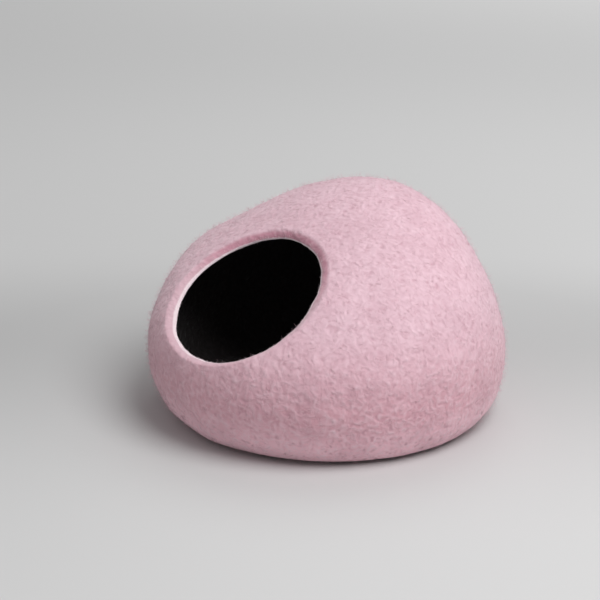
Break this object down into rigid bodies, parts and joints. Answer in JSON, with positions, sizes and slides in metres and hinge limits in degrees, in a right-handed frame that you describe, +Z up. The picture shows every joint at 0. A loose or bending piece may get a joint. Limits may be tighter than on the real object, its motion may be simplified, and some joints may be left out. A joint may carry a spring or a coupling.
{
  "type": "felt cat cave",
  "caption": "A low egg-shaped cave of thick wool felt with a flat base and one tilted round mouth, for a cat to curl up in.",
  "frame": {"origin": "middle of the footprint, on the surface that the base rests on", "axes": "+Z up; the mouth faces -Y and tilts up; +X is to the right of someone who faces the mouth from outside and looks along +Y"},
  "size_m": [0.4004, 0.3985, 0.2459],
  "materials": {
    "felt": "matt pale pink wet-felted wool, finely mottled with lighter and darker fibres; dark grey wool inside"
  },
  "bodies": {
    "root": {"felt_shell": "felt"}
  },
  "joints": []
}
